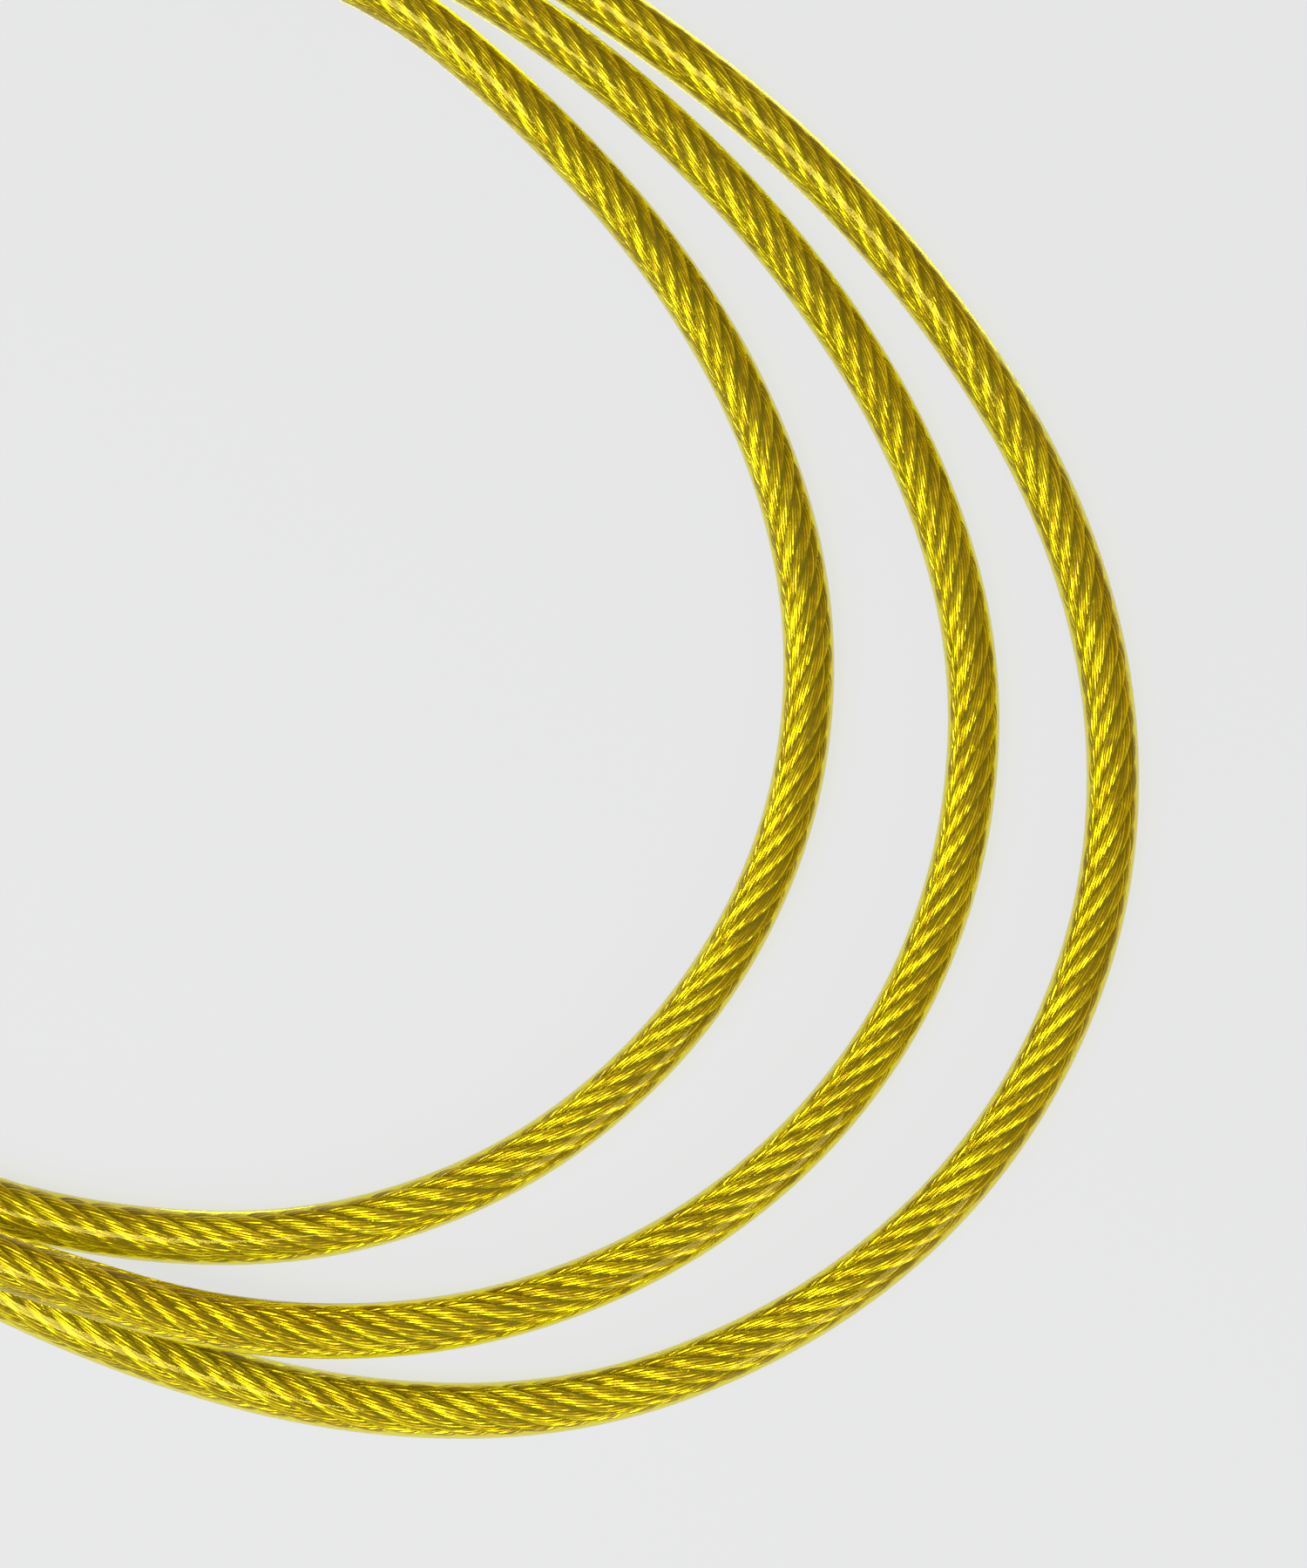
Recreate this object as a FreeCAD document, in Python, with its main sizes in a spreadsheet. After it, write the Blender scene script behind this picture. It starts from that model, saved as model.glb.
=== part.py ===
import FreeCAD, Part
import math
import os
from FreeCAD import Placement, Rotation, Vector

# A skipping rope's spare cable: a steel wire rope in a clear yellow jacket, laid down in three
# loose turns. A crimped ferrule closes each end, a stop collar with its set screw rides beside
# each ferrule, and two ties hold the turns together on one side of the coil.
# Millimetres. +Z is up, z = 0 is the floor, and the origin is the middle of the coil's footprint.

PARTS_FOLDER = "parts"

doc = FreeCAD.newDocument("jump_rope_cable")

# ---------------------------------------------------------------- driving dimensions

sheet = doc.addObject("Spreadsheet::Sheet", "Sizes")

SIZES = [
    ("jacket_dia", 8.0, "outside diameter of the clear jacket"),
    ("rope_dia", 5.0, "diameter of the wire rope inside it"),
    ("strand_dia", 1.62, "diameter of one of the seven strands"),
    ("strand_ring", 1.66, "radius of the circle on which the six outer strands lie"),
    ("coil_shift_x", 65.56, "from the turns' own reference point to the origin, along X"),
    ("coil_shift_y", -31.47, "the same along Y"),
    ("turn_bearing", 143.5, "bearing of every turn's long axis, degrees"),
    ("turn_step", 15.0, "angle between two points of a turn, degrees"),
    ("outer_x", -57.3, "centre of the outer turn"),
    ("outer_y", 27.3, "centre of the outer turn"),
    ("outer_long", 136.8, "half its long axis"),
    ("outer_short", 111.5, "half its short axis"),
    ("middle_x", -73.2, "centre of the middle turn"),
    ("middle_y", 33.4, "centre of the middle turn"),
    ("middle_long", 130.8, "half its long axis"),
    ("middle_short", 106.4, "half its short axis"),
    ("inner_x", -94.4, "centre of the inner turn"),
    ("inner_y", 41.8, "centre of the inner turn"),
    ("inner_long", 126.7, "half its long axis"),
    ("inner_short", 101.6, "half its short axis"),
    ("waver_height", 0.6, "how far a free turn wavers about its oval"),
    ("waver_period", 66.0, "angle from one crest of the waver to the next, degrees"),
    ("waver_crest", -4.0, "angle of a crest, degrees"),
    ("lane_half", 4.25, "half the distance between the two lower strands of the bundle"),
    ("bundle_lift", 1.5, "how far the ties hold the lower strands off the floor"),
    ("over_lift", 8.7, "how far the link on top of the bundle is raised"),
    ("end_height", 7.0, "height of the cable's axis at its two ends"),
    ("ferrule_dia", 13.0, "outside diameter of the crimped ferrule"),
    ("ferrule_length", 20.0, "its length"),
    ("ferrule_grip", 16.0, "depth of its blind bore"),
    ("ferrule_bore", 7.9, "bore, which squeezes the jacket"),
    ("crimp_radius", 1.1, "radius of a crimped groove's section"),
    ("crimp_depth", 0.6, "depth of a crimped groove"),
    ("crimp_pitch", 4.6, "distance between the grooves"),
    ("edge_round", 0.8, "rounding of the ferrule's and the collar's rims"),
    ("collar_dia", 14.0, "outside diameter of the stop collar"),
    ("collar_length", 9.0, "its length"),
    ("collar_bore", 8.2, "its running bore"),
    ("collar_gap", 4.0, "rest distance from the ferrule's mouth to the collar"),
    ("screw_dia", 4.0, "diameter of the set screw"),
    ("screw_hole", 4.1, "hole for it in the collar"),
    ("screw_length", 2.8, "length of the set screw"),
    ("screw_top", 6.95, "height of its outer face above the cable's axis"),
    ("socket_width", 2.0, "set screw's hexagon socket, corner circle diameter"),
    ("socket_depth", 1.5, "depth of the socket"),
    ("tie_width", 4.6, "width of a tie's band"),
    ("tie_thick", 1.3, "thickness of the band"),
    ("tie_clear", 0.15, "clearance between the band and the jackets"),
    ("head_size", 6.2, "side of a tie's head"),
    ("head_length", 6.4, "length of the head along the cable"),
    ("tail_stub", 5.0, "length of the trimmed tail beyond the head"),
]

for row, (alias, value, meaning) in enumerate(SIZES, start=1):
    sheet.set(f"A{row}", meaning)
    sheet.set(f"B{row}", str(value))
    sheet.setAlias(f"B{row}", alias)
doc.recompute()


def size(alias):
    return float(sheet.get(alias))


def cell(alias):
    return f"{sheet.Name}.{alias}"


def bind(obj, **expressions):
    for prop, expression in expressions.items():
        obj.setExpression(prop, expression)


# ---------------------------------------------------------------- the cable's route

TURNS = ("outer", "middle", "inner")
STEP = size("turn_step")
FULL_TURN = 360.0
# A line of arcs drawn through a ring of points cuts inside them by this much.
CORNER_CUT = math.cos(math.radians(STEP / 2))

# Angles at which a turn stops being free and becomes a strand of the tied bundle.
FREE_FROM = 67.5
FREE_TO = -92.5
TIED_FROM = 255.0
TIED_MIDDLE = 180.0

# Angles between which a strand leaves one line and joins the next, in the direction of travel.
LINK_1_LEAVES = (252.0, 205.0)
LINK_1_JOINS = (95.0, 70.0)
LINK_2_JOINS = (105.0, 75.0)
TAIL_JOINS = (90.0, 60.0)
# (angle, millimetres) pairs: how far a strand stands outside the line it follows.
TAIL_OUTWARD = ((105, 0.0), (90, 4.5), (75, 9.5))
LINK_1_OUTWARD = ((255, -1.5), (240, 0.4), (225, 0.0), (105, 0.0), (90, 2.0), (75, 5.3))
LINK_2_OUTWARD = ((255, -2.8), (240, 0.4), (225, 0.0), (120, 0.0), (105, -3.0), (90, -7.0), (75, -5.0))
FREE_OUTWARD = (
    (
        (60, 1.0), (45, -0.5), (30, -0.5), (15, 0.2), (0, 0.0),
        (-45, 0.0), (-60, -0.35), (-75, 0.5), (-90, 0.1),
    ),
    (
        (60, 1.2), (45, -0.3), (30, -0.2), (15, 0.2), (0, 0.3), (-15, -0.2),
        (-30, 0.2), (-45, 0.1), (-60, -0.2), (-75, 0.2), (-90, -0.1),
    ),
    ((60, 0.4), (45, -0.5), (30, 0.0), (15, 0.2), (-15, -0.2), (-75, 0.0), (-90, -0.8)),
)
# (angle, share) pairs: how much of its full lift a strand has.
LOWER_LIFT = ((210, 0.0), (195, 1.0), (105, 1.0), (90, 0.0))
UPPER_LIFT = (
    (300, 0.0), (285, 0.14), (270, 0.63), (255, 1.0), (120, 1.0),
    (105, 1.11), (90, 1.09), (75, 0.97), (60, 0.35), (45, 0.0),
)

# The two ends lie straight beside the bundle, one outside it and one inside.
START_END = ((-189.4, -64.6), (-196.6, -24.8), (-203.4, 14.2))
STOP_END = (
    (-110.0, -61.4), (-133.5, -41.8), (-151.0, -15.5),
    (-155.3, 15.5), (-143.2, 52.8), (-130.8, 90.0),
)
LEVEL_POINTS = 3


def smooth(share):
    share = min(max(share, 0.0), 1.0)
    return share * share * (3 - 2 * share)


def fade(angle, window):
    """0 before the window, 1 after it; angles fall along the cable."""
    return smooth((window[0] - angle) / (window[0] - window[1]))


def along(angle, table):
    """The value of a table of (angle, value) pairs, straight between them."""
    if angle >= table[0][0]:
        return table[0][1]
    for (first, value), (last, next_value) in zip(table, table[1:]):
        if angle >= last:
            return value + (next_value - value) * (first - angle) / (first - last)
    return table[-1][1]


def on_turn(turn, angle):
    """A point of one elliptical turn, in plan."""
    bearing = math.radians(size("turn_bearing"))
    lean = math.radians(angle) - bearing
    long_part = size(turn + "_long") / CORNER_CUT * math.cos(lean)
    short_part = size(turn + "_short") / CORNER_CUT * math.sin(lean)
    x = size(turn + "_x") + long_part * math.cos(bearing) - short_part * math.sin(bearing)
    y = size(turn + "_y") + long_part * math.sin(bearing) + short_part * math.cos(bearing)
    return Vector(x, y, 0)


def outward(angle):
    """The middle turn's outward direction at an angle."""
    ahead = on_turn("middle", angle + 0.1) - on_turn("middle", angle - 0.1)
    return Vector(ahead.y, -ahead.x, 0).normalize()


def in_lane(angle, offset):
    return on_turn("middle", angle) + outward(angle) * offset


def mix(first, second, share):
    return first * (1 - share) + second * share


def raised(point, height):
    return Vector(point.x, point.y, size("jacket_dia") / 2 + height)


def tail_point(angle):
    """The start of the cable, on the bundle's outer side, up to the outer turn."""
    point = mix(in_lane(angle, size("lane_half")), on_turn("outer", angle), fade(angle, TAIL_JOINS))
    point += outward(angle) * along(angle, TAIL_OUTWARD)
    return raised(point, size("bundle_lift") * along(angle, LOWER_LIFT))


def link_1_point(angle):
    """From the outer turn to the middle one, along the bundle's inner side."""
    point = in_lane(angle, -size("lane_half"))
    if angle > TIED_MIDDLE:
        point = mix(on_turn("outer", angle), point, fade(angle, LINK_1_LEAVES))
    else:
        point = mix(point, on_turn("middle", angle), fade(angle, LINK_1_JOINS))
    point += outward(angle) * along(angle, LINK_1_OUTWARD)
    return raised(point, size("bundle_lift") * along(angle, LOWER_LIFT))


def link_2_point(angle):
    """From the middle turn to the inner one, on top of the other two strands."""
    point = in_lane(angle, 0)
    if angle < TIED_MIDDLE:
        point = mix(point, on_turn("inner", angle), fade(angle, LINK_2_JOINS))
    point += outward(angle) * along(angle, LINK_2_OUTWARD)
    return raised(point, size("over_lift") * along(angle, UPPER_LIFT))


def free_point(number, angle):
    """A point of a free turn; the middle one already climbs, the inner one still comes down."""
    phase = FULL_TURN * (angle - size("waver_crest")) / size("waver_period")
    waver = size("waver_height") * math.cos(math.radians(phase)) + along(angle, FREE_OUTWARD[number])
    height = 0
    if TURNS[number] == "middle":
        height = size("over_lift") * along(angle + FULL_TURN, UPPER_LIFT)
    if TURNS[number] == "inner":
        height = size("over_lift") * along(angle, UPPER_LIFT)
    return raised(on_turn(TURNS[number], angle) + outward(angle) * waver, height)


def route_points():
    """Every point of the cable's route from its start to its other end."""
    shift = Vector(size("coil_shift_x"), size("coil_shift_y"), 0)
    end_height = size("end_height")
    points = [Vector(x, y, end_height) for x, y in START_END]
    tied = (tail_point, link_1_point, link_2_point)
    for number in range(len(TURNS)):
        angle = TIED_MIDDLE if number == 0 else TIED_FROM
        while angle > FREE_FROM:
            points.append(tied[number](angle))
            angle -= STEP
        while angle > FREE_TO:
            points.append(free_point(number, angle))
            angle -= STEP
    floor_height = size("jacket_dia") / 2
    level_from = len(STOP_END) - LEVEL_POINTS
    for number, (x, y) in enumerate(STOP_END):
        points.append(Vector(x, y, end_height if number >= level_from else floor_height))
    return [point + shift for point in points]


ROUTE = route_points()
ARC_SHARE = 0.45


def rounded_path(points):
    """Straight runs joined by tangent arcs, as one wire, and the arcs' radii."""
    edges = []
    radii = []
    here = points[0]
    for before, corner, after in zip(points, points[1:], points[2:]):
        back = before - corner
        ahead = after - corner
        reach = ARC_SHARE * min(back.Length, ahead.Length)
        half_turn = (math.pi - back.getAngle(ahead)) / 2
        radii.append(reach / math.tan(half_turn))
        enter = corner + back.normalize() * reach
        leave = corner + ahead.normalize() * reach
        inward = (enter + leave) * 0.5 - corner
        nearest = corner + inward.normalize() * (math.hypot(reach, radii[-1]) - radii[-1])
        edges.append(Part.LineSegment(here, enter).toShape())
        edges.append(Part.Arc(enter, nearest, leave).toShape())
        here = leave
    edges.append(Part.LineSegment(here, points[-1]).toShape())
    return Part.Wire(edges), radii


PATH, RADII = rounded_path(ROUTE)


# ---------------------------------------------------------------- places along the cable

def end_frame(tip, inner):
    """A place whose Z runs out through a cable end, and whose X is level."""
    out = (tip - inner).normalize()
    level = Vector(0, 0, 1).cross(out).normalize()
    return Placement(tip, Rotation(level, Vector(0, 0, 1), out, "ZXY"))


END_FRAMES = {
    "a": end_frame(ROUTE[0], ROUTE[1]),
    "b": end_frame(ROUTE[-1], ROUTE[-2]),
}


def shifted(frame, along_axis):
    return frame.multiply(Placement(Vector(0, 0, along_axis), Rotation()))


# ---------------------------------------------------------------- the cable itself

made = []


def keep(obj, label):
    obj.Label = label
    made.append(obj)
    return obj


def cut(name, base, tool):
    obj = doc.addObject("Part::Cut", name)
    obj.Base = base
    obj.Tool = tool
    return obj


def swept(name, dia, offset=(0, 0)):
    """A round section swept along the whole cable, beside its centre line by the offset."""
    start = END_FRAMES["a"]
    centre = start.multVec(Vector(offset[0], offset[1], 0))
    axis = start.Rotation.multVec(Vector(0, 0, 1))
    section = Part.Face(Part.Wire(Part.makeCircle(dia / 2, centre, axis)))
    obj = doc.addObject("Part::Feature", name)
    obj.Shape = PATH.makePipe(section)
    return obj


def make_jacket():
    whole = swept("jacket_outside", size("jacket_dia"))
    hollow = swept("jacket_inside", size("rope_dia"))
    return keep(cut("cable_jacket", whole, hollow), "cable_jacket")


def make_strands():
    keep(swept("core_strand", size("strand_dia")), "core_strand")
    count = 6
    for number in range(count):
        turn = math.radians(FULL_TURN / count * number)
        ring = size("strand_ring")
        place = (ring * math.cos(turn), ring * math.sin(turn))
        name = f"outer_strand_{number + 1}"
        keep(swept(name, size("strand_dia"), place), name)


# ---------------------------------------------------------------- end pieces

def cylinder(name, radius, height, base="0"):
    obj = doc.addObject("Part::Cylinder", name)
    bind(obj, Radius=radius, Height=height)
    obj.setExpression(".Placement.Base.z", base)
    return obj


def rounded_rims(name, base, radius_alias, outer_dia_alias):
    """Round the two outer rims of a turned piece."""
    doc.recompute()
    outer = size(outer_dia_alias) / 2
    rims = []
    for number, edge in enumerate(base.Shape.Edges, start=1):
        curve = edge.Curve
        if curve.TypeId == "Part::GeomCircle" and abs(curve.Radius - outer) < 1e-6 and edge.Closed:
            if abs(abs(curve.Axis.z) - 1) < 1e-6:
                rims.append((number, size(radius_alias), size(radius_alias)))
    obj = doc.addObject("Part::Fillet", name)
    obj.Base = base
    obj.Edges = rims
    return obj


def make_ferrule(end):
    """A turned sleeve with a blind bore for the cable, crimped on with three grooves."""
    name = "end_ferrule_" + end
    grip = cell("ferrule_grip")
    blank = cylinder(name + "_blank", cell("ferrule_dia") + " / 2", cell("ferrule_length"), f"-{grip}")
    blank = rounded_rims(name + "_rounded", blank, "edge_round", "ferrule_dia")
    bore = cylinder(name + "_bore", cell("ferrule_bore") + " / 2", grip, f"-{grip}")
    piece = cut(name + "_bored", blank, bore)
    for number in range(3):
        groove = doc.addObject("Part::Torus", f"{name}_groove_{number + 1}")
        centre = f"{cell('ferrule_dia')} / 2 + {cell('crimp_radius')} - {cell('crimp_depth')}"
        bind(groove, Radius1=centre, Radius2=cell("crimp_radius"))
        groove.setExpression(".Placement.Base.z", f"-{grip} / 2 + {number - 1} * {cell('crimp_pitch')}")
        last = number == 2
        piece = cut(name if last else f"{name}_crimp_{number + 1}", piece, groove)
    piece.Placement = END_FRAMES[end]
    return keep(piece, name)


def collar_frame(end):
    """The collar's middle at rest."""
    back = size("ferrule_grip") + size("collar_gap") + size("collar_length") / 2
    return shifted(END_FRAMES[end], -back)


def make_collar(end):
    """A ring that runs on the jacket, with a cross hole for its set screw."""
    name = "stop_collar_" + end
    half = cell("collar_length") + " / 2"
    blank = cylinder(name + "_blank", cell("collar_dia") + " / 2", cell("collar_length"), f"-{half}")
    blank = rounded_rims(name + "_rounded", blank, "edge_round", "collar_dia")
    bore = cylinder(name + "_bore", cell("collar_bore") + " / 2", cell("collar_length"), f"-{half}")
    ring = cut(name + "_ring", blank, bore)
    hole = doc.addObject("Part::Cylinder", name + "_hole")
    bind(hole, Radius=cell("screw_hole") + " / 2", Height=cell("collar_dia"))
    hole.Placement = Placement(Vector(), Rotation(Vector(1, 0, 0), -90))
    piece = cut(name, ring, hole)
    piece.Placement = collar_frame(end)
    return keep(piece, name)


def make_screw(end):
    """A cup-point set screw with a hexagon socket, standing upright in the collar."""
    name = "set_screw_" + end
    top = cell("screw_top")
    shank = cylinder(name + "_shank", cell("screw_dia") + " / 2", cell("screw_length"),
                     f"{top} - {cell('screw_length')}")
    socket = doc.addObject("Part::Prism", name + "_socket")
    socket.Polygon = 6
    bind(socket, Circumradius=cell("socket_width") + " / 2", Height=cell("socket_depth"))
    socket.setExpression(".Placement.Base.z", f"{top} - {cell('socket_depth')}")
    piece = cut(name, shank, socket)
    upright = Placement(Vector(), Rotation(Vector(1, 0, 0), -90))
    piece.Placement = collar_frame(end).multiply(upright)
    return keep(piece, name)


# ---------------------------------------------------------------- ties

# Each tie sits half way between two points of the tied strands, given by the first one's angle.
TIE_ANGLES = {"cable_tie_1": 165.0, "cable_tie_2": 135.0}


def tie_frame(angle):
    """A place in the bundle's middle: X outward, Y up, Z along the cable."""
    strands = [(place(angle), place(angle - STEP)) for place in (tail_point, link_1_point)]
    middles = [(first + last) * 0.5 for first, last in strands]
    centre = (middles[0] + middles[1]) * 0.5
    side = (middles[0] - middles[1]).normalize()
    shift = Vector(size("coil_shift_x"), size("coil_shift_y"), 0)
    return Placement(centre + shift, Rotation(side, Vector(0, 0, 1), side.cross(Vector(0, 0, 1)), "ZXY"))


def bundle_slab(radius, width):
    """The rounded triangle that a band takes round three strands, as a slab."""
    half = size("lane_half")
    top = size("over_lift") - size("bundle_lift")
    low = -width / 2
    corners = [Vector(-half, 0, low), Vector(half, 0, low), Vector(0, top, low), Vector(-half, 0, low)]
    triangle = Part.Face(Part.makePolygon(corners))
    return triangle.makeOffset2D(radius).extrude(Vector(0, 0, width))


def make_tie(label, angle):
    """A band round the three strands, with its head and trimmed tail on the outer flank."""
    inside = size("jacket_dia") / 2 + size("tie_clear")
    outside = inside + size("tie_thick")
    width = size("tie_width")
    hollow = bundle_slab(inside, width)
    band = bundle_slab(outside, width).cut(hollow)

    half = size("lane_half")
    rise = size("over_lift") - size("bundle_lift")
    sink = size("tie_thick") / 2
    head = size("head_size")
    head_out = size("head_length")
    block = Part.makeBox(head_out, head, head, Vector(outside - sink, -head / 2, -head / 2))
    stub = Part.makeBox(head_out + size("tail_stub"), size("tie_thick"), width,
                        Vector(outside - sink, -size("tie_thick") / 2, -width / 2))
    flank = Rotation(Vector(0, 0, 1), math.degrees(math.atan2(half, rise)))
    latch = block.fuse(stub)
    latch.Placement = Placement(Vector(half / 2, rise / 2, 0), flank)

    obj = doc.addObject("Part::Feature", label)
    obj.Shape = band.fuse(latch).removeSplitter()
    obj.Placement = tie_frame(angle)
    return keep(obj, label)


# ---------------------------------------------------------------- build, test, write

make_jacket()
make_strands()
for end_name in END_FRAMES:
    make_ferrule(end_name)
    make_collar(end_name)
    make_screw(end_name)
for tie_label, tie_angle in TIE_ANGLES.items():
    make_tie(tie_label, tie_angle)
doc.recompute()

for obj in doc.Objects:
    if "Invalid" in obj.State or "Error" in obj.State:
        raise RuntimeError(f"{obj.Label} failed: {obj.State}")
for obj in made:
    if obj.Shape.isNull() or not obj.Shape.isValid():
        raise RuntimeError(f"{obj.Label} has no valid shape")

print("route points:", len(ROUTE), " length of the path:", round(PATH.Length, 1), "mm")
print("arc radii:", [round(radius) for radius in RADII])
jacket_area = math.pi / 4 * (size("jacket_dia") ** 2 - size("rope_dia") ** 2)
jacket = doc.getObject("cable_jacket").Shape
print("jacket volume over section times length:", round(jacket.Volume / (jacket_area * PATH.Length), 5))

os.makedirs(PARTS_FOLDER, exist_ok=True)
whole = Part.makeCompound([obj.Shape for obj in made]).BoundBox
print("whole object, mm:", whole)
for obj in made:
    solids = obj.Shape.Solids
    print(obj.Label, "solids", len(solids), "volume", round(obj.Shape.Volume, 1))
    obj.Shape.exportStep(os.path.join(PARTS_FOLDER, obj.Label + ".step"))
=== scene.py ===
import math

import bpy
import numpy as np
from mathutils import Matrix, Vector


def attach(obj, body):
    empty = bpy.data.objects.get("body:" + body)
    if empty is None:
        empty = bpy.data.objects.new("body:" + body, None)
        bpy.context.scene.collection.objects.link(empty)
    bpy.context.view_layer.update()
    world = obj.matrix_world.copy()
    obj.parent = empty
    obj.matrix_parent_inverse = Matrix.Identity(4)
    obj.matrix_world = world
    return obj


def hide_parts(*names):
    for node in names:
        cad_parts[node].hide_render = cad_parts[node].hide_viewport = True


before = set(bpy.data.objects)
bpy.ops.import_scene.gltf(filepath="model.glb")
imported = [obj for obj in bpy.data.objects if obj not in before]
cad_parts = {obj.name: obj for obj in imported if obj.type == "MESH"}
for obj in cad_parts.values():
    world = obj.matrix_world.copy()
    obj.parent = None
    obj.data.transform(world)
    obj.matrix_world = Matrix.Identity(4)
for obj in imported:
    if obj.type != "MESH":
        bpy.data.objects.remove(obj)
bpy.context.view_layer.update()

MM = 0.001

# ---------------------------------------------------------------- the cable's route

# The same route as part.py, in millimetres and in degrees round the coil. The cable runs
# clockwise, so the angles fall along it.
JACKET_DIA = 8.0
COIL_SHIFT = Vector((65.56, -31.47, 0.0))
BEARING = math.radians(143.5)
STEP = 15.0
CORNER_CUT = math.cos(math.radians(STEP / 2))
FULL_TURN = 360.0
# Each turn's centre x, centre y, half its long axis and half its short axis.
TURNS = {
    "outer": (-57.3, 27.3, 136.8, 111.5),
    "middle": (-73.2, 33.4, 130.8, 106.4),
    "inner": (-94.4, 41.8, 126.7, 101.6),
}
# The free turns waver a little in plan.
WAVER_HEIGHT = 0.6
WAVER_PERIOD = 66.0
WAVER_CREST = -4.0
# The tied bundle: two strands side by side, and a third on top of them.
LANE_HALF = 4.25
BUNDLE_LIFT = 1.5
OVER_LIFT = 8.7
END_HEIGHT = 7.0

# Where the free and the tied parts of a turn begin and end.
FREE_FROM = 67.5
FREE_TO = -92.5
TIED_FROM = 255.0
TIED_MIDDLE = 180.0

# Windows over which a strand passes from its turn to its lane, or back.
LINK_1_LEAVES = (252.0, 205.0)
LINK_1_JOINS = (95.0, 70.0)
LINK_2_JOINS = (105.0, 75.0)
TAIL_JOINS = (90.0, 60.0)
# How far each strand lies outside its line, as pairs of angle and distance.
TAIL_OUTWARD = ((105, 0.0), (90, 4.5), (75, 9.5))
LINK_1_OUTWARD = ((255, -1.5), (240, 0.4), (225, 0.0), (105, 0.0), (90, 2.0), (75, 5.3))
LINK_2_OUTWARD = (
    (255, -2.8), (240, 0.4), (225, 0.0), (120, 0.0), (105, -3.0), (90, -7.0), (75, -5.0),
)
# One row of pairs for each turn, in the order of TURNS.
FREE_OUTWARD = (
    (
        (60, 1.0), (45, -0.5), (30, -0.5), (15, 0.2), (0, 0.0),
        (-45, 0.0), (-60, -0.35), (-75, 0.5), (-90, 0.1),
    ),
    (
        (60, 1.2), (45, -0.3), (30, -0.2), (15, 0.2), (0, 0.3), (-15, -0.2),
        (-30, 0.2), (-45, 0.1), (-60, -0.2), (-75, 0.2), (-90, -0.1),
    ),
    ((60, 0.4), (45, -0.5), (30, 0.0), (15, 0.2), (-15, -0.2), (-75, 0.0), (-90, -0.8)),
)
# Which share of its lift a strand has, as pairs of angle and share.
LOWER_LIFT = ((210, 0.0), (195, 1.0), (105, 1.0), (90, 0.0))
UPPER_LIFT = (
    (300, 0.0), (285, 0.14), (270, 0.63), (255, 1.0), (120, 1.0),
    (105, 1.11), (90, 1.09), (75, 0.97), (60, 0.35), (45, 0.0),
)

# The two ends, from the cable's start and to its stop.
START_END = ((-189.4, -64.6), (-196.6, -24.8), (-203.4, 14.2))
STOP_END = (
    (-110.0, -61.4), (-133.5, -41.8), (-151.0, -15.5),
    (-155.3, 15.5), (-143.2, 52.8), (-130.8, 90.0),
)
# The last points of the stop end lie as high as its ferrule.
LEVEL_POINTS = 3

ORDER = 3
PROBE_RESOLUTION = 40
JACKET_RESOLUTION = 14
JACKET_BEVEL = 14
NUDGE = 0.1


def smooth(share):
    """A share from 0 to 1, eased at both ends."""
    share = min(max(share, 0.0), 1.0)
    return share * share * (3 - 2 * share)


def fade(angle, window):
    """0 before the window, 1 after it; angles fall along the cable."""
    return smooth((window[0] - angle) / (window[0] - window[1]))


def along(angle, table):
    """The value of a table of (angle, value) pairs, straight between them."""
    if angle >= table[0][0]:
        return table[0][1]
    for (first, value), (last, next_value) in zip(table, table[1:]):
        if angle >= last:
            return value + (next_value - value) * (first - angle) / (first - last)
    return table[-1][1]


def on_turn(turn, angle):
    """A point of one elliptical turn, in plan."""
    x, y, half_long, half_short = TURNS[turn]
    lean = math.radians(angle) - BEARING
    long_part = half_long / CORNER_CUT * math.cos(lean)
    short_part = half_short / CORNER_CUT * math.sin(lean)
    return Vector((
        x + long_part * math.cos(BEARING) - short_part * math.sin(BEARING),
        y + long_part * math.sin(BEARING) + short_part * math.cos(BEARING),
        0.0,
    ))


def outward(angle):
    """The middle turn's outward direction at an angle."""
    ahead = on_turn("middle", angle + NUDGE) - on_turn("middle", angle - NUDGE)
    return Vector((ahead.y, -ahead.x, 0.0)).normalized()


def in_lane(angle, offset):
    """A point of the tied bundle, beside the middle turn."""
    return on_turn("middle", angle) + outward(angle) * offset


def raised(point, height):
    """The point at a height over where the cable lies on the floor."""
    return Vector((point.x, point.y, JACKET_DIA / 2 + height))


def tail_point(angle):
    """The start of the cable, on the bundle's outer side, up to the outer turn."""
    point = in_lane(angle, LANE_HALF).lerp(on_turn("outer", angle), fade(angle, TAIL_JOINS))
    point += outward(angle) * along(angle, TAIL_OUTWARD)
    return raised(point, BUNDLE_LIFT * along(angle, LOWER_LIFT))


def link_1_point(angle):
    """From the outer turn to the middle one, along the bundle's inner side."""
    point = in_lane(angle, -LANE_HALF)
    if angle > TIED_MIDDLE:
        point = on_turn("outer", angle).lerp(point, fade(angle, LINK_1_LEAVES))
    else:
        point = point.lerp(on_turn("middle", angle), fade(angle, LINK_1_JOINS))
    point += outward(angle) * along(angle, LINK_1_OUTWARD)
    return raised(point, BUNDLE_LIFT * along(angle, LOWER_LIFT))


def link_2_point(angle):
    """From the middle turn to the inner one, on top of the other two strands."""
    point = in_lane(angle, 0.0)
    if angle < TIED_MIDDLE:
        point = point.lerp(on_turn("inner", angle), fade(angle, LINK_2_JOINS))
    point += outward(angle) * along(angle, LINK_2_OUTWARD)
    return raised(point, OVER_LIFT * along(angle, UPPER_LIFT))


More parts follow.
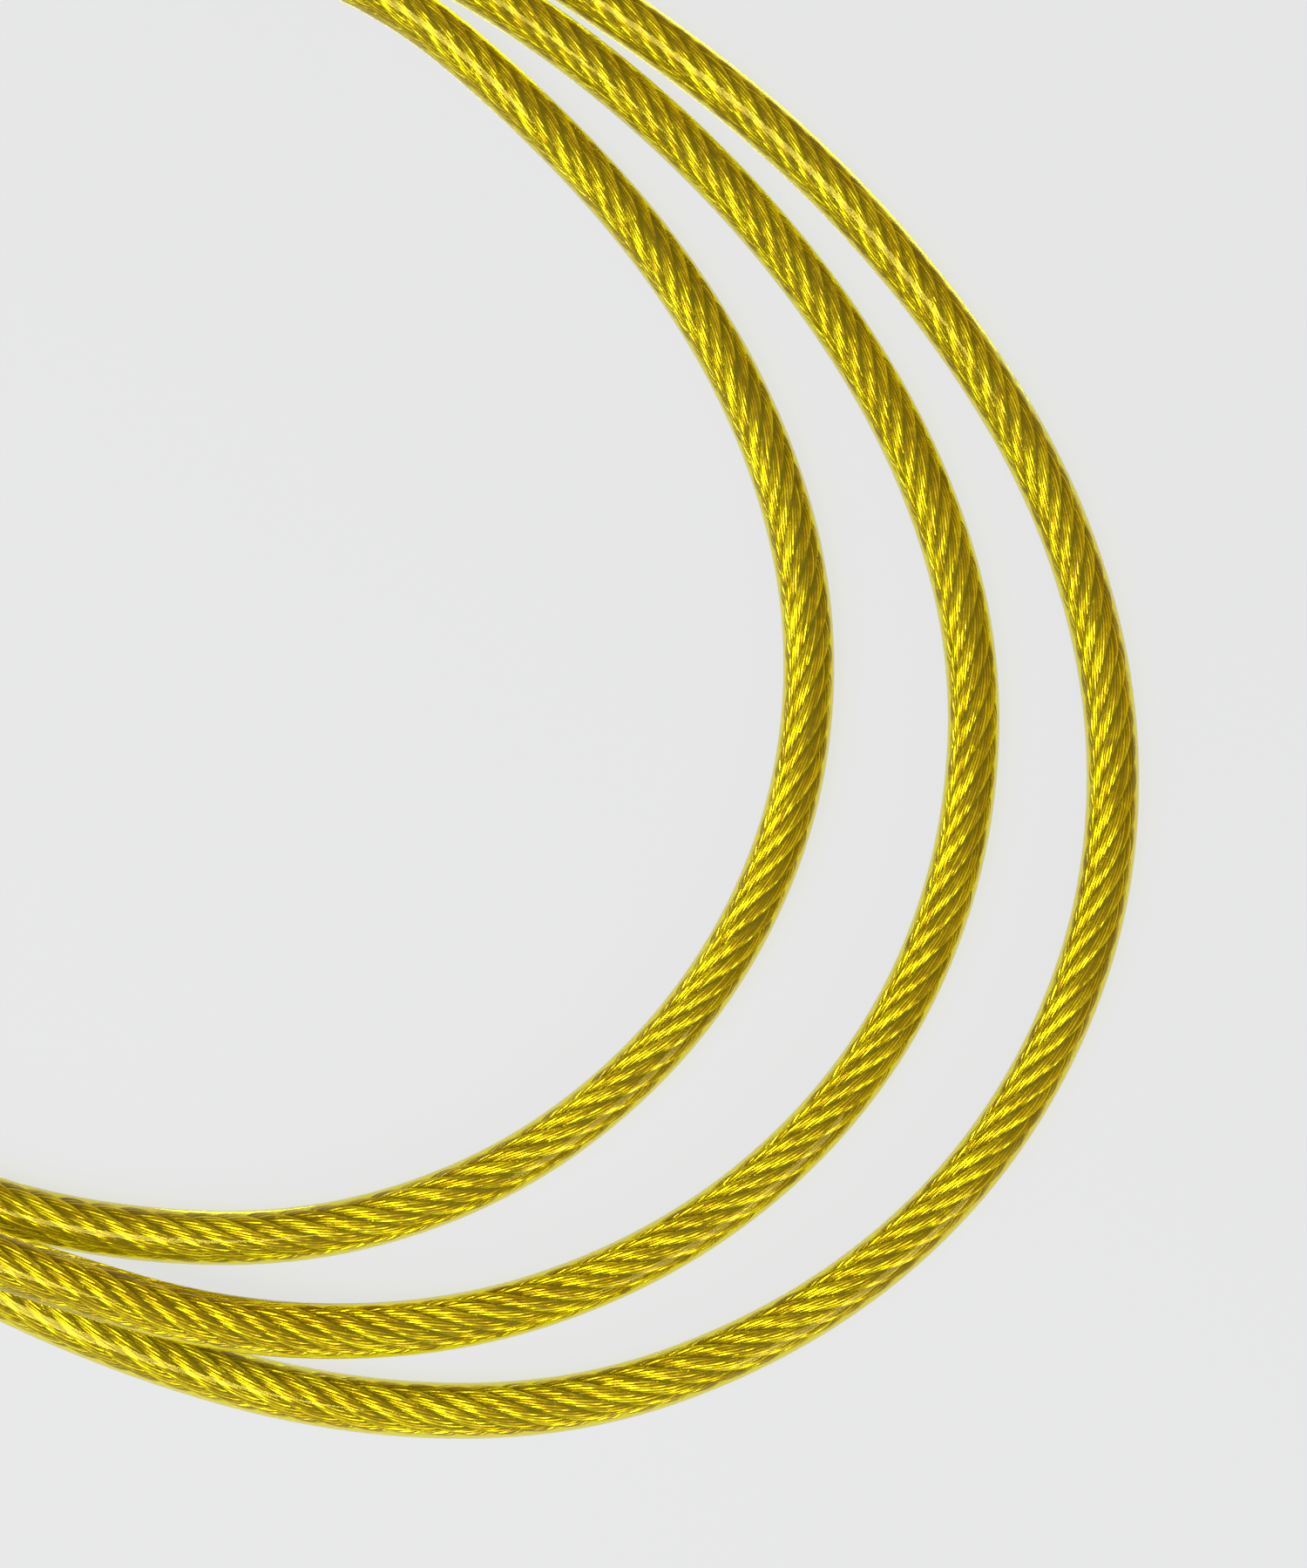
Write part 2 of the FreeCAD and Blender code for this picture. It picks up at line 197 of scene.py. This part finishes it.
def free_point(number, angle):
    """A point of a free turn; the middle one already climbs, the inner one still falls."""
    phase = math.radians(FULL_TURN * (angle - WAVER_CREST) / WAVER_PERIOD)
    waver = WAVER_HEIGHT * math.cos(phase) + along(angle, FREE_OUTWARD[number])
    height = 0.0
    if number == 1:
        height = OVER_LIFT * along(angle + FULL_TURN, UPPER_LIFT)
    if number == 2:
        height = OVER_LIFT * along(angle, UPPER_LIFT)
    point = on_turn(list(TURNS)[number], angle) + outward(angle) * waver
    return raised(point, height)


def route_points():
    """Every point of the cable's route from its start to its other end, in metres."""
    points = [Vector((x, y, END_HEIGHT)) for x, y in START_END]
    tied = (tail_point, link_1_point, link_2_point)
    for number in range(len(TURNS)):
        angle = TIED_MIDDLE if number == 0 else TIED_FROM
        while angle > FREE_FROM:
            points.append(tied[number](angle))
            angle -= STEP
        while angle > FREE_TO:
            points.append(free_point(number, angle))
            angle -= STEP
    level_from = len(STOP_END) - LEVEL_POINTS
    for number, (x, y) in enumerate(STOP_END):
        points.append(Vector((x, y, END_HEIGHT if number >= level_from else JACKET_DIA / 2)))
    return [(point + COIL_SHIFT) * MM for point in points]


ROUTE = route_points()


def route_curve(name, resolution):
    """An open NURBS curve with the route's points as its control points."""
    curve = bpy.data.curves.new(name, "CURVE")
    curve.dimensions = "3D"
    spline = curve.splines.new("NURBS")
    spline.points.add(len(ROUTE) - 1)
    for control, point in zip(spline.points, ROUTE):
        control.co = (*point, 1.0)
    spline.order_u = ORDER
    spline.use_endpoint_u = True
    curve.resolution_u = resolution
    obj = bpy.data.objects.new(name, curve)
    bpy.context.collection.objects.link(obj)
    return obj


def centre_line():
    """The points of the route's own spline, as Blender gives them."""
    probe = route_curve("route_probe", PROBE_RESOLUTION)
    mesh = bpy.data.meshes.new_from_object(probe)
    line = np.empty(len(mesh.vertices) * 3)
    mesh.vertices.foreach_get("co", line)
    bpy.data.meshes.remove(mesh)
    data = probe.data
    bpy.data.objects.remove(probe)
    bpy.data.curves.remove(data)
    return line.reshape(-1, 3)


LINE = centre_line()


def arc_lengths(line):
    """How far along the line each of its points is."""
    steps = np.linalg.norm(np.diff(line, axis=0), axis=1)
    return np.concatenate([[0.0], np.cumsum(steps)])


CABLE_LENGTH = float(arc_lengths(LINE)[-1])


def unit(vectors):
    return vectors / np.linalg.norm(vectors, axis=1)[:, None]


def framed_line(spacing):
    """Evenly spaced stations on the centre line, with two side directions that don't twist."""
    lengths = arc_lengths(LINE)
    count = int(round(CABLE_LENGTH / spacing)) + 1
    stations = np.linspace(0.0, CABLE_LENGTH, count)
    line = np.stack([np.interp(stations, lengths, LINE[:, k]) for k in range(3)], axis=1)
    ahead = unit(np.gradient(line, axis=0))
    side = np.empty_like(ahead)
    side[0] = np.cross(ahead[0], (0.0, 0.0, 1.0))
    side[0] /= np.linalg.norm(side[0])
    for k in range(1, count):
        carried = side[k - 1] - ahead[k] * np.dot(side[k - 1], ahead[k])
        side[k] = carried / np.linalg.norm(carried)
    return stations, line, ahead, side, np.cross(ahead, side)


# ---------------------------------------------------------------- materials

# Between these two values lies most of a noise texture.
NOISE_LOW = 0.3
NOISE_HIGH = 0.7


def new_material(name):
    material = bpy.data.materials.new(name)
    material.use_nodes = True
    nodes = material.node_tree.nodes
    return material, nodes, material.node_tree.links, nodes["Principled BSDF"]


def add_noise(nodes, links, scale, detail):
    """Noise through the whole of the object, as a value about 0.5."""
    texture = nodes.new("ShaderNodeTexNoise")
    texture.inputs["Scale"].default_value = scale
    texture.inputs["Detail"].default_value = detail
    where = nodes.new("ShaderNodeTexCoord")
    links.new(where.outputs["Object"], texture.inputs["Vector"])
    return texture.outputs["Fac"]


def add_range(nodes, links, source, low, high, from_low, from_high):
    """The source, spread from one range of values to another."""
    span = nodes.new("ShaderNodeMapRange")
    span.inputs["From Min"].default_value = from_low
    span.inputs["From Max"].default_value = from_high
    span.inputs["To Min"].default_value = low
    span.inputs["To Max"].default_value = high
    links.new(source, span.inputs["Value"])
    return span.outputs["Result"]


def add_roughness(nodes, links, source, low, high, shader):
    """Roughness between two values, by a noise."""
    rough = add_range(nodes, links, source, low, high, NOISE_LOW, NOISE_HIGH)
    links.new(rough, shader.inputs["Roughness"])


def add_colours(nodes, links, source, stops):
    """A colour ramp over the source, from (place, colour) stops."""
    ramp = nodes.new("ShaderNodeValToRGB")
    elements = ramp.color_ramp.elements
    while len(elements) < len(stops):
        elements.new(0.5)
    for element, (place, colour) in zip(elements, stops):
        element.position = place
        element.color = (*colour, 1.0)
    links.new(source, ramp.inputs["Fac"])
    return ramp.outputs["Color"]


def add_bump(nodes, links, source, distance, strength, shader):
    """Unevenness of the surface, by a noise."""
    bump = nodes.new("ShaderNodeBump")
    bump.inputs["Distance"].default_value = distance
    bump.inputs["Strength"].default_value = strength
    links.new(source, bump.inputs["Height"])
    links.new(bump.outputs["Normal"], shader.inputs["Normal"])


def jacket_material():
    """Clear yellow PVC: glossy, faintly uneven, and tinted more where it is thicker."""
    material, nodes, links, shader = new_material("clear_yellow_pvc")
    shader.inputs["Transmission Weight"].default_value = 0.93
    shader.inputs["IOR"].default_value = 1.5
    shader.inputs["Specular Tint"].default_value = (0.45, 0.34, 0.06, 1.0)
    tone = add_noise(nodes, links, 60.0, 2.0)
    links.new(add_colours(nodes, links, tone, (
        (NOISE_LOW, (1.00, 0.84, 0.045)),
        (NOISE_HIGH, (0.99, 0.80, 0.030)),
    )), shader.inputs["Base Color"])
    haze = add_noise(nodes, links, 400.0, 3.0)
    add_roughness(nodes, links, haze, 0.02, 0.06, shader)
    skin = add_noise(nodes, links, 220.0, 2.0)
    add_bump(nodes, links, skin, 0.00006, 0.25, shader)
    # Lamps reach the wires through the jacket.
    path = nodes.new("ShaderNodeLightPath")
    passing = nodes.new("ShaderNodeBsdfTransparent")
    passing.inputs["Color"].default_value = (0.99, 0.96, 0.45, 1.0)
    mix = nodes.new("ShaderNodeMixShader")
    links.new(path.outputs["Is Shadow Ray"], mix.inputs["Fac"])
    links.new(shader.outputs["BSDF"], mix.inputs[1])
    links.new(passing.outputs["BSDF"], mix.inputs[2])
    output = nodes["Material Output"]
    links.new(mix.outputs["Shader"], output.inputs["Surface"])
    depth = nodes.new("ShaderNodeVolumeAbsorption")
    depth.inputs["Color"].default_value = (0.950, 0.965, 0.0, 1.0)
    depth.inputs["Density"].default_value = 600.0
    links.new(depth.outputs["Volume"], output.inputs["Volume"])
    return material


PATCH_SHARE = 0.6


def wire_material():
    """Bright drawn steel wire, with a tone of its own on each wire, darkened by painted shade
    in the grooves and where the wires face a neighbouring strand.
    """
    material, nodes, links, shader = new_material("bright_steel_wire")
    shader.inputs["Metallic"].default_value = 1.0
    # The attribute read here holds each wire's random tone, less the painted shade of the
    # grooves and of the sides that face a neighbouring strand.
    tone = nodes.new("ShaderNodeAttribute")
    tone.attribute_name = "wire_tone_and_shade"
    patches = add_noise(nodes, links, 500.0, 3.0)
    blend = nodes.new("ShaderNodeMath")
    blend.operation = "MULTIPLY_ADD"
    links.new(patches, blend.inputs[0])
    blend.inputs[1].default_value = PATCH_SHARE
    tone_and_shade = add_range(nodes, links, tone.outputs["Fac"], -0.6, 0.5, -0.6, 1.0)
    links.new(tone_and_shade, blend.inputs[2])
    links.new(add_colours(nodes, links, blend.outputs["Value"], (
        (0.00, (0.12, 0.06, 0.015)),
        (0.35, (0.58, 0.49, 0.28)),
        (0.70, (0.94, 1.00, 0.92)),
    )), shader.inputs["Base Color"])
    add_roughness(nodes, links, patches, 0.10, 0.26, shader)
    return material


GRAIN_DEPTH = 0.00003


def metal_material(name, dark, light, rough_low, rough_high):
    """Finely grained metal with a few duller patches."""
    material, nodes, links, shader = new_material(name)
    shader.inputs["Metallic"].default_value = 1.0
    patches = add_noise(nodes, links, 90.0, 4.0)
    stops = ((NOISE_LOW, dark), (NOISE_HIGH, light))
    links.new(add_colours(nodes, links, patches, stops), shader.inputs["Base Color"])
    grain = add_noise(nodes, links, 1800.0, 2.0)
    add_roughness(nodes, links, grain, rough_low, rough_high, shader)
    add_bump(nodes, links, grain, GRAIN_DEPTH, 0.3, shader)
    return material


def nylon_material():
    """Black moulded nylon, finely grained."""
    material, nodes, links, shader = new_material("black_nylon")
    patches = add_noise(nodes, links, 120.0, 3.0)
    links.new(add_colours(nodes, links, patches, (
        (NOISE_LOW, (0.012, 0.012, 0.013)),
        (NOISE_HIGH, (0.024, 0.024, 0.026)),
    )), shader.inputs["Base Color"])
    grain = add_noise(nodes, links, 2500.0, 2.0)
    add_roughness(nodes, links, grain, 0.38, 0.55, shader)
    add_bump(nodes, links, grain, GRAIN_DEPTH, 0.4, shader)
    return material


WIRE = wire_material()
ALUMINIUM = metal_material(
    "crimped_aluminium", (0.50, 0.51, 0.52), (0.63, 0.64, 0.65), 0.26, 0.40,
)
STEEL = metal_material(
    "satin_steel", (0.30, 0.31, 0.32), (0.42, 0.43, 0.44), 0.22, 0.36,
)
BLACK_STEEL = metal_material(
    "black_oxide_steel", (0.035, 0.036, 0.04), (0.07, 0.07, 0.075), 0.30, 0.45,
)
NYLON = nylon_material()

# ---------------------------------------------------------------- the wire rope

# In metres: the lay of the strands and of their wires, and the strands' places and sizes.
ROPE_LAY = 0.0292
STRAND_RING = 0.00161
STRAND_RADIUS = 0.00079
WIRE_LAY = 0.0145
WIRES = 12
POINTS_PER_WIRE = 3
WIRE_DEPTH = 0.00025
OUTER_STRANDS = 6
STATION_SPACING = 0.0009
CORE_SPACINGS = 3
CORE_SIDES = 12
# Tones, in which 1 is the brightest wire. The groove points between wires get a low tone,
# which is painted shade in the grooves.
GROOVE_SHADE_TONE = -0.5
CORE_TONE = 0.5
# Where the cosine of a wire's angle from the strand's outer side falls below GAP_FROM, the
# wire starts to darken with painted shade, and it loses up to GAP_SHADE.
GAP_SHADE = 0.55
GAP_FROM = 0.75
SEED = 7


def add_tube_mesh(name, rings, tones):
    """One closed tube through rings of points, shape (stations, around, 3)."""
    stations, around, _ = rings.shape
    index = np.arange(stations * around).reshape(stations, around)
    here, ahead = index[:-1], index[1:]
    corners = [here, np.roll(here, -1, 1), np.roll(ahead, -1, 1), ahead]
    quads = np.stack(corners, axis=-1).reshape(-1)
    quad_count = len(quads) // len(corners)
    caps = np.concatenate([index[0][::-1], index[-1]])
    loops = np.concatenate([quads, caps])
    sizes = np.concatenate([np.full(quad_count, len(corners)), [around, around]])
    starts = np.concatenate([[0], np.cumsum(sizes)[:-1]])
    smooth_faces = np.concatenate([np.ones(quad_count, bool), [False, False]])
    mesh = bpy.data.meshes.new(name)
    mesh.vertices.add(stations * around)
    mesh.vertices.foreach_set("co", rings.reshape(-1))
    mesh.loops.add(len(loops))
    mesh.loops.foreach_set("vertex_index", loops)
    mesh.polygons.add(len(sizes))
    mesh.polygons.foreach_set("loop_start", starts)
    mesh.polygons.foreach_set("use_smooth", smooth_faces)
    # Per point tones, with the painted shade of grooves and gaps already in them.
    tone = mesh.attributes.new("wire_tone_and_shade", "FLOAT", "POINT")
    tone.data.foreach_set("value", np.broadcast_to(tones, (stations, around)).ravel())
    mesh.update(calc_edges=True)
    mesh.validate()
    obj = bpy.data.objects.new(name, mesh)
    bpy.context.collection.objects.link(obj)
    return obj


def make_strand(number, stations, line, ahead, side, up, random):
    """One outer strand: a ring of wires, wound round the rope's own middle."""
    turn = 2 * math.pi * (stations / ROPE_LAY + number / OUTER_STRANDS)
    radial = side * np.cos(turn)[:, None] + up * np.sin(turn)[:, None]
    middle = line + radial * STRAND_RING
    along_strand = unit(np.gradient(middle, axis=0))
    across = unit(np.cross(along_strand, radial))
    radial = np.cross(across, along_strand)

    around = WIRES * POINTS_PER_WIRE
    places = np.arange(around)
    in_groove = places % POINTS_PER_WIRE == 0
    wire_radius = STRAND_RADIUS - WIRE_DEPTH * in_groove
    bearing = 2 * math.pi * places / around
    spin = 2 * math.pi * stations / WIRE_LAY
    angle = bearing[None, :] - spin[:, None]
    rings = (
        middle[:, None, :]
        + radial[:, None, :] * (np.cos(angle) * wire_radius)[:, :, None]
        + across[:, None, :] * (np.sin(angle) * wire_radius)[:, :, None]
    )
    # Wires turned towards a neighbouring strand are darkened with painted shade, where that
    # strand would shade them.
    shade = GAP_SHADE * np.clip(GAP_FROM - np.cos(angle), 0.0, 1.0)
    tones_with_shade = np.repeat(random.random(WIRES), POINTS_PER_WIRE) - shade
    # Groove points take the painted shade of the grooves between wires.
    tones = np.where(in_groove, GROOVE_SHADE_TONE, tones_with_shade)
    strand = add_tube_mesh(f"wire_strand_{number + 1}", rings, tones)
    strand.data.materials.append(WIRE)
    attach(strand, "cable")
    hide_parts(f"outer_strand_{number + 1}")
    return strand


def make_core(line, side, up):
    """The strand in the middle, which the other six hide but at the cut ends."""
    angle = 2 * math.pi * np.arange(CORE_SIDES) / CORE_SIDES
    ring = (
        side[:, None, :] * np.cos(angle)[None, :, None]
        + up[:, None, :] * np.sin(angle)[None, :, None]
    )
    rings = line[:, None, :] + ring * STRAND_RADIUS
    core = add_tube_mesh("wire_core", rings, np.full(CORE_SIDES, CORE_TONE))
    core.data.materials.append(WIRE)
    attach(core, "cable")
    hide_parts("core_strand")
    return core


def make_rope():
    random = np.random.default_rng(SEED)
    stations, line, ahead, side, up = framed_line(STATION_SPACING)
    strands = [
        make_strand(number, stations, line, ahead, side, up, random)
        for number in range(OUTER_STRANDS)
    ]
    _, coarse_line, _, coarse_side, coarse_up = framed_line(STATION_SPACING * CORE_SPACINGS)
    return strands + [make_core(coarse_line, coarse_side, coarse_up)]


def make_jacket():
    jacket = route_curve("clear_jacket", JACKET_RESOLUTION)
    jacket.data.bevel_depth = JACKET_DIA / 2 * MM
    jacket.data.bevel_resolution = JACKET_BEVEL
    jacket.data.use_fill_caps = True
    jacket.data.materials.append(jacket_material())
    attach(jacket, "cable")
    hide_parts("cable_jacket")
    return jacket


rope = make_rope()
jacket = make_jacket()

# ---------------------------------------------------------------- the pieces that CAD shapes

FINISHES = {
    "end_ferrule_a": ALUMINIUM,
    "end_ferrule_b": ALUMINIUM,
    "stop_collar_a": STEEL,
    "stop_collar_b": STEEL,
    "set_screw_a": BLACK_STEEL,
    "set_screw_b": BLACK_STEEL,
    "cable_tie_1": NYLON,
    "cable_tie_2": NYLON,
}
for node, material in FINISHES.items():
    for material_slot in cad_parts[node].material_slots:
        material_slot.material = material

# ---------------------------------------------------------------- floor, light and camera

# The direction of the room's bright side.
LIGHT_SIDE = (-0.46, -0.52, 0.72)
ROOM_STRENGTH = 1.1
WALL = (0.78, 0.78, 0.78, 1.0)

FLOOR_HALF = 3.0
FLOOR_DROP = 0.0001
FLOOR_BASE = (0.05, 0.05, 0.05, 1.0)
FLOOR_GLOW = (0.98, 0.98, 1.0, 1.0)
FLOOR_GLOW_STRENGTH = 0.71

# Name, place in metres, size of the square in metres, and power in watts.
SOFTBOXES = (
    ("key", (-0.42, -0.30, 0.90), 0.50, 18.0),
    ("fill", (0.55, -0.70, 0.50), 0.45, 5.5),
)
SOFTBOX_COLOUR = (0.90, 1.0, 0.93)


def make_floor():
    """A pale floor that glows a little, so that shadows on it stay faint."""
    mesh = bpy.data.meshes.new("floor")
    half = FLOOR_HALF
    corners = [(-half, -half, 0), (half, -half, 0), (half, half, 0), (-half, half, 0)]
    mesh.from_pydata(corners, [], [(0, 1, 2, 3)])
    floor = bpy.data.objects.new("floor", mesh)
    floor.location.z = -FLOOR_DROP
    bpy.context.collection.objects.link(floor)
    material, _, _, shader = new_material("pale_floor")
    shader.inputs["Base Color"].default_value = FLOOR_BASE
    shader.inputs["Roughness"].default_value = 1.0
    shader.inputs["Specular IOR Level"].default_value = 0.0
    shader.inputs["Emission Color"].default_value = FLOOR_GLOW
    shader.inputs["Emission Strength"].default_value = FLOOR_GLOW_STRENGTH
    mesh.materials.append(material)


def add_softbox(name, place, size, power):
    """A square lamp that points at the middle of the coil."""
    lamp = bpy.data.lights.new(name, "AREA")
    lamp.shape = "RECTANGLE"
    lamp.size = size
    lamp.size_y = size
    lamp.energy = power
    lamp.color = SOFTBOX_COLOUR
    obj = bpy.data.objects.new(name, lamp)
    obj.location = place
    obj.rotation_euler = (-Vector(place)).to_track_quat("-Z", "Y").to_euler()
    bpy.context.collection.objects.link(obj)


def make_world():
    """A soft room: pale towards the near left, dim and brown towards the far right."""
    world = bpy.data.worlds.new("studio")
    world.use_nodes = True
    nodes = world.node_tree.nodes
    links = world.node_tree.links
    where = nodes.new("ShaderNodeTexCoord")
    facing = nodes.new("ShaderNodeVectorMath")
    facing.operation = "DOT_PRODUCT"
    links.new(where.outputs["Generated"], facing.inputs[0])
    facing.inputs[1].default_value = LIGHT_SIDE
    share = add_range(nodes, links, facing.outputs["Value"], 0.0, 1.0, -1.0, 1.0)
    tone = add_colours(nodes, links, share, (
        (0.45, (0.48, 0.24, 0.04)),
        (0.80, (0.50, 0.40, 0.25)),
        (0.97, (0.95, 1.00, 0.92)),
    ))
    room = nodes["Background"]
    links.new(tone, room.inputs["Color"])
    room.inputs["Strength"].default_value = ROOM_STRENGTH
    # What shows of the room past the floor's edge is as pale as the floor.
    wall = nodes.new("ShaderNodeBackground")
    wall.inputs["Color"].default_value = WALL
    path = nodes.new("ShaderNodeLightPath")
    mix = nodes.new("ShaderNodeMixShader")
    links.new(path.outputs["Is Camera Ray"], mix.inputs["Fac"])
    links.new(room.outputs["Background"], mix.inputs[1])
    links.new(wall.outputs["Background"], mix.inputs[2])
    links.new(mix.outputs["Shader"], nodes["World Output"].inputs["Surface"])
    bpy.context.scene.world = world


# The camera looks down on the coil, tipped a little so that the near side is larger.
CAMERA_TILT = math.radians(9.3)
PICTURE_WIDTH = 1500
CABLE_IN_PIXELS = 59.0
CABLE_IN_WIDTHS = CABLE_IN_PIXELS / PICTURE_WIDTH
FOCAL_IN_WIDTHS = 1.6
SENSOR_WIDTH = 36.0
CLIP_START = 0.01


def make_camera():
    data = bpy.data.cameras.new("camera")
    data.sensor_fit = "HORIZONTAL"
    data.sensor_width = SENSOR_WIDTH
    data.lens = SENSOR_WIDTH * FOCAL_IN_WIDTHS
    data.clip_start = CLIP_START
    camera = bpy.data.objects.new("camera", data)
    bpy.context.collection.objects.link(camera)
    distance = JACKET_DIA * MM * FOCAL_IN_WIDTHS / CABLE_IN_WIDTHS
    target = COIL_SHIFT * MM + Vector((0.0, 0.0, JACKET_DIA / 2 * MM))
    back = Vector((0.0, -math.sin(CAMERA_TILT), math.cos(CAMERA_TILT)))
    camera.location = target + back * distance
    camera.rotation_euler = (CAMERA_TILT, 0.0, 0.0)
    bpy.context.scene.camera = camera


make_floor()
make_world()
for softbox in SOFTBOXES:
    add_softbox(*softbox)
make_camera()
bpy.context.scene.view_settings.view_transform = "Standard"
